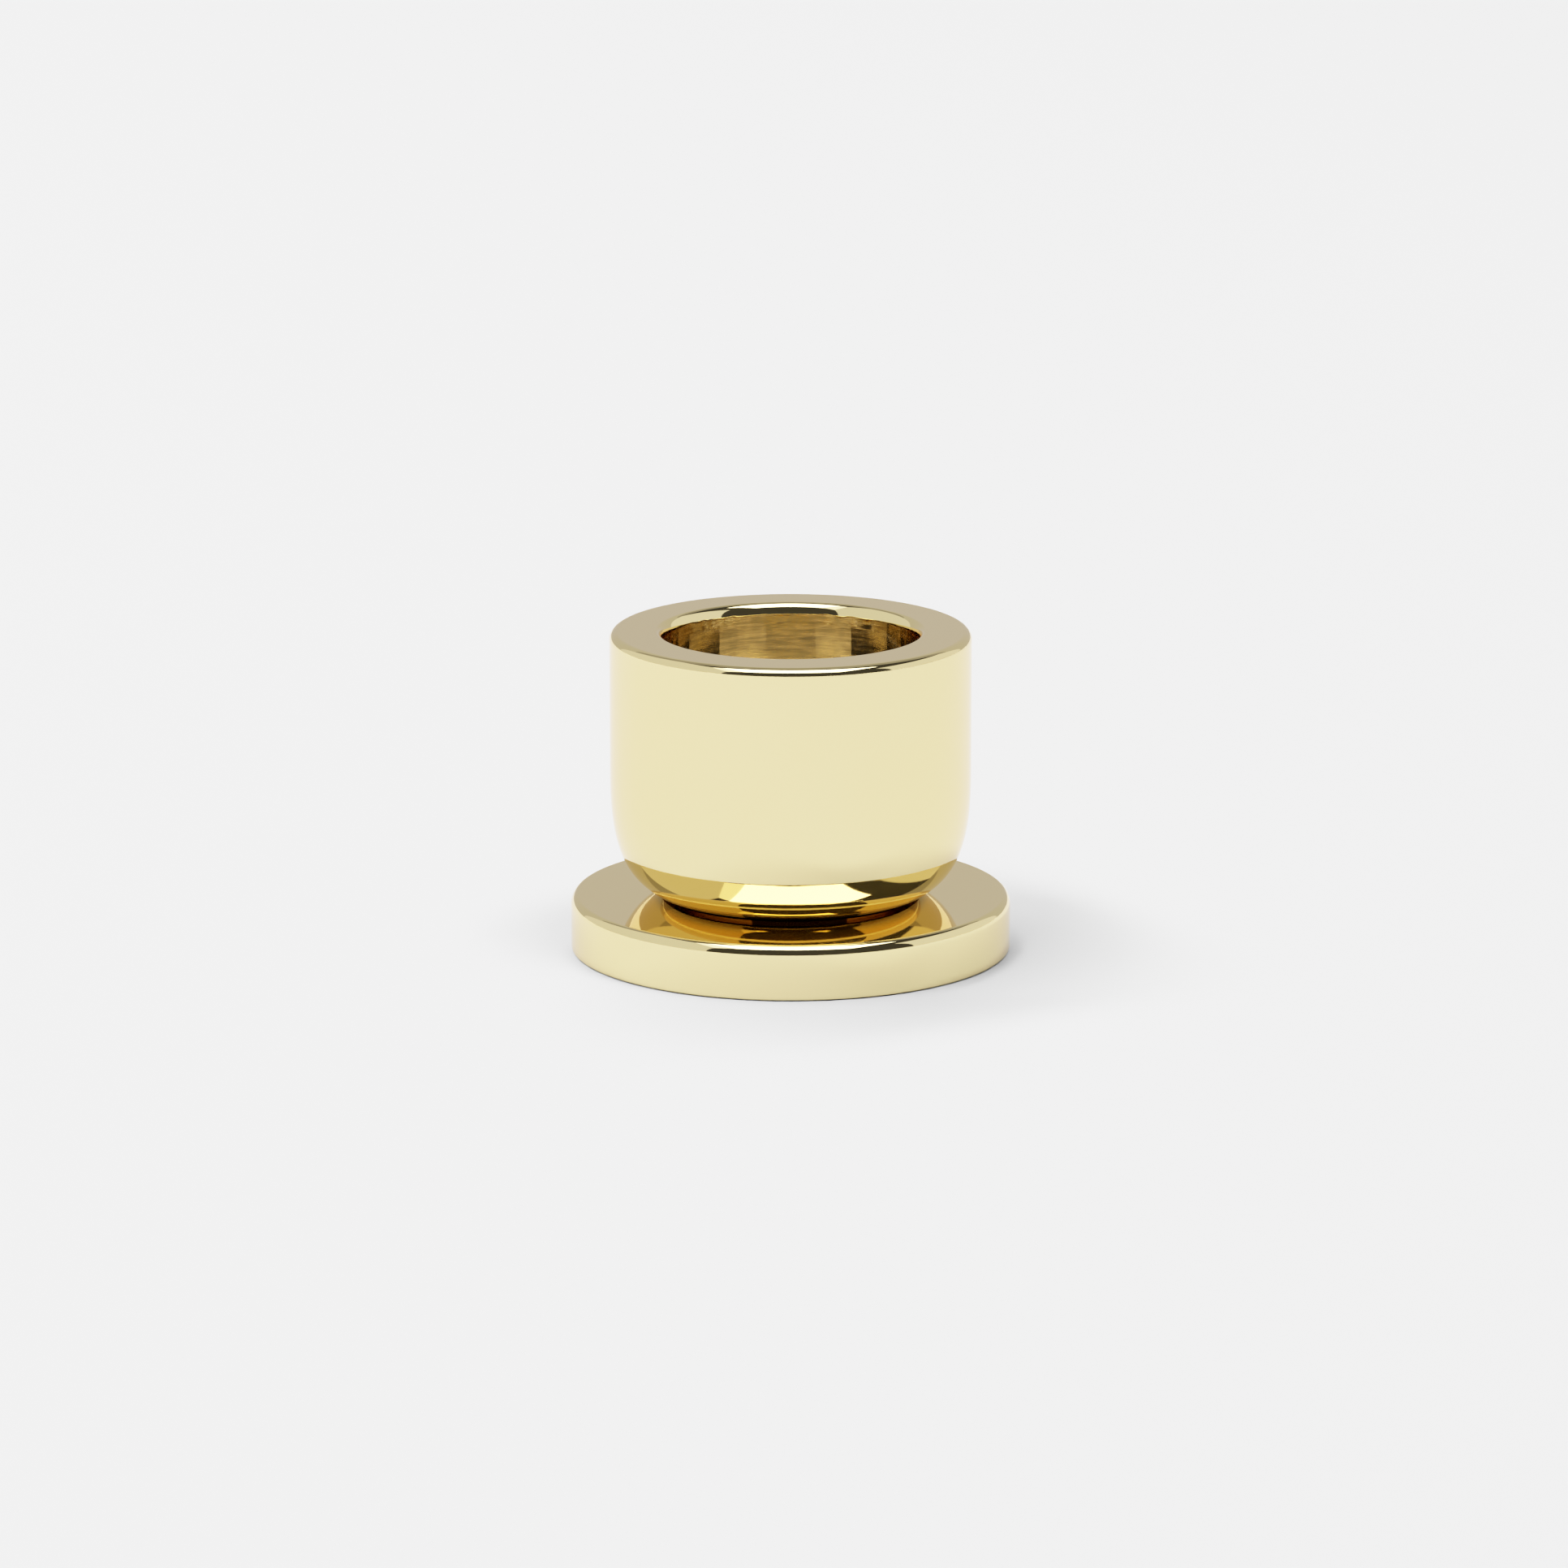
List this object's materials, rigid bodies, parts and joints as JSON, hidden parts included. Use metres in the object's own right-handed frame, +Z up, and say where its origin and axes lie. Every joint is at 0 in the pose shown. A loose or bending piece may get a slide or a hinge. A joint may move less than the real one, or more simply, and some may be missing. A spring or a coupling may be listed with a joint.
{
  "type": "candle holder",
  "caption": "Low turned brass candle holder: a thick-walled polished cup with a shallow round socket, on a flat disc base with a felt pad.",
  "frame": {"origin": "centre of the underside, on the surface that the holder stands on", "axes": "+Z up along the axis of the cup and its socket"},
  "size_m": [0.04, 0.04, 0.0294],
  "materials": {
    "polished_brass": "mirror polished outside, fine turning marks in the socket",
    "plated_steel": "zinc plated, satin",
    "felt": "pressed wool felt, matte"
  },
  "bodies": {
    "root": {"candle_cup": "polished_brass", "base_disc": "polished_brass", "base_screw": "plated_steel", "lock_washer": "plated_steel", "felt_pad": "felt"}
  },
  "joints": []
}
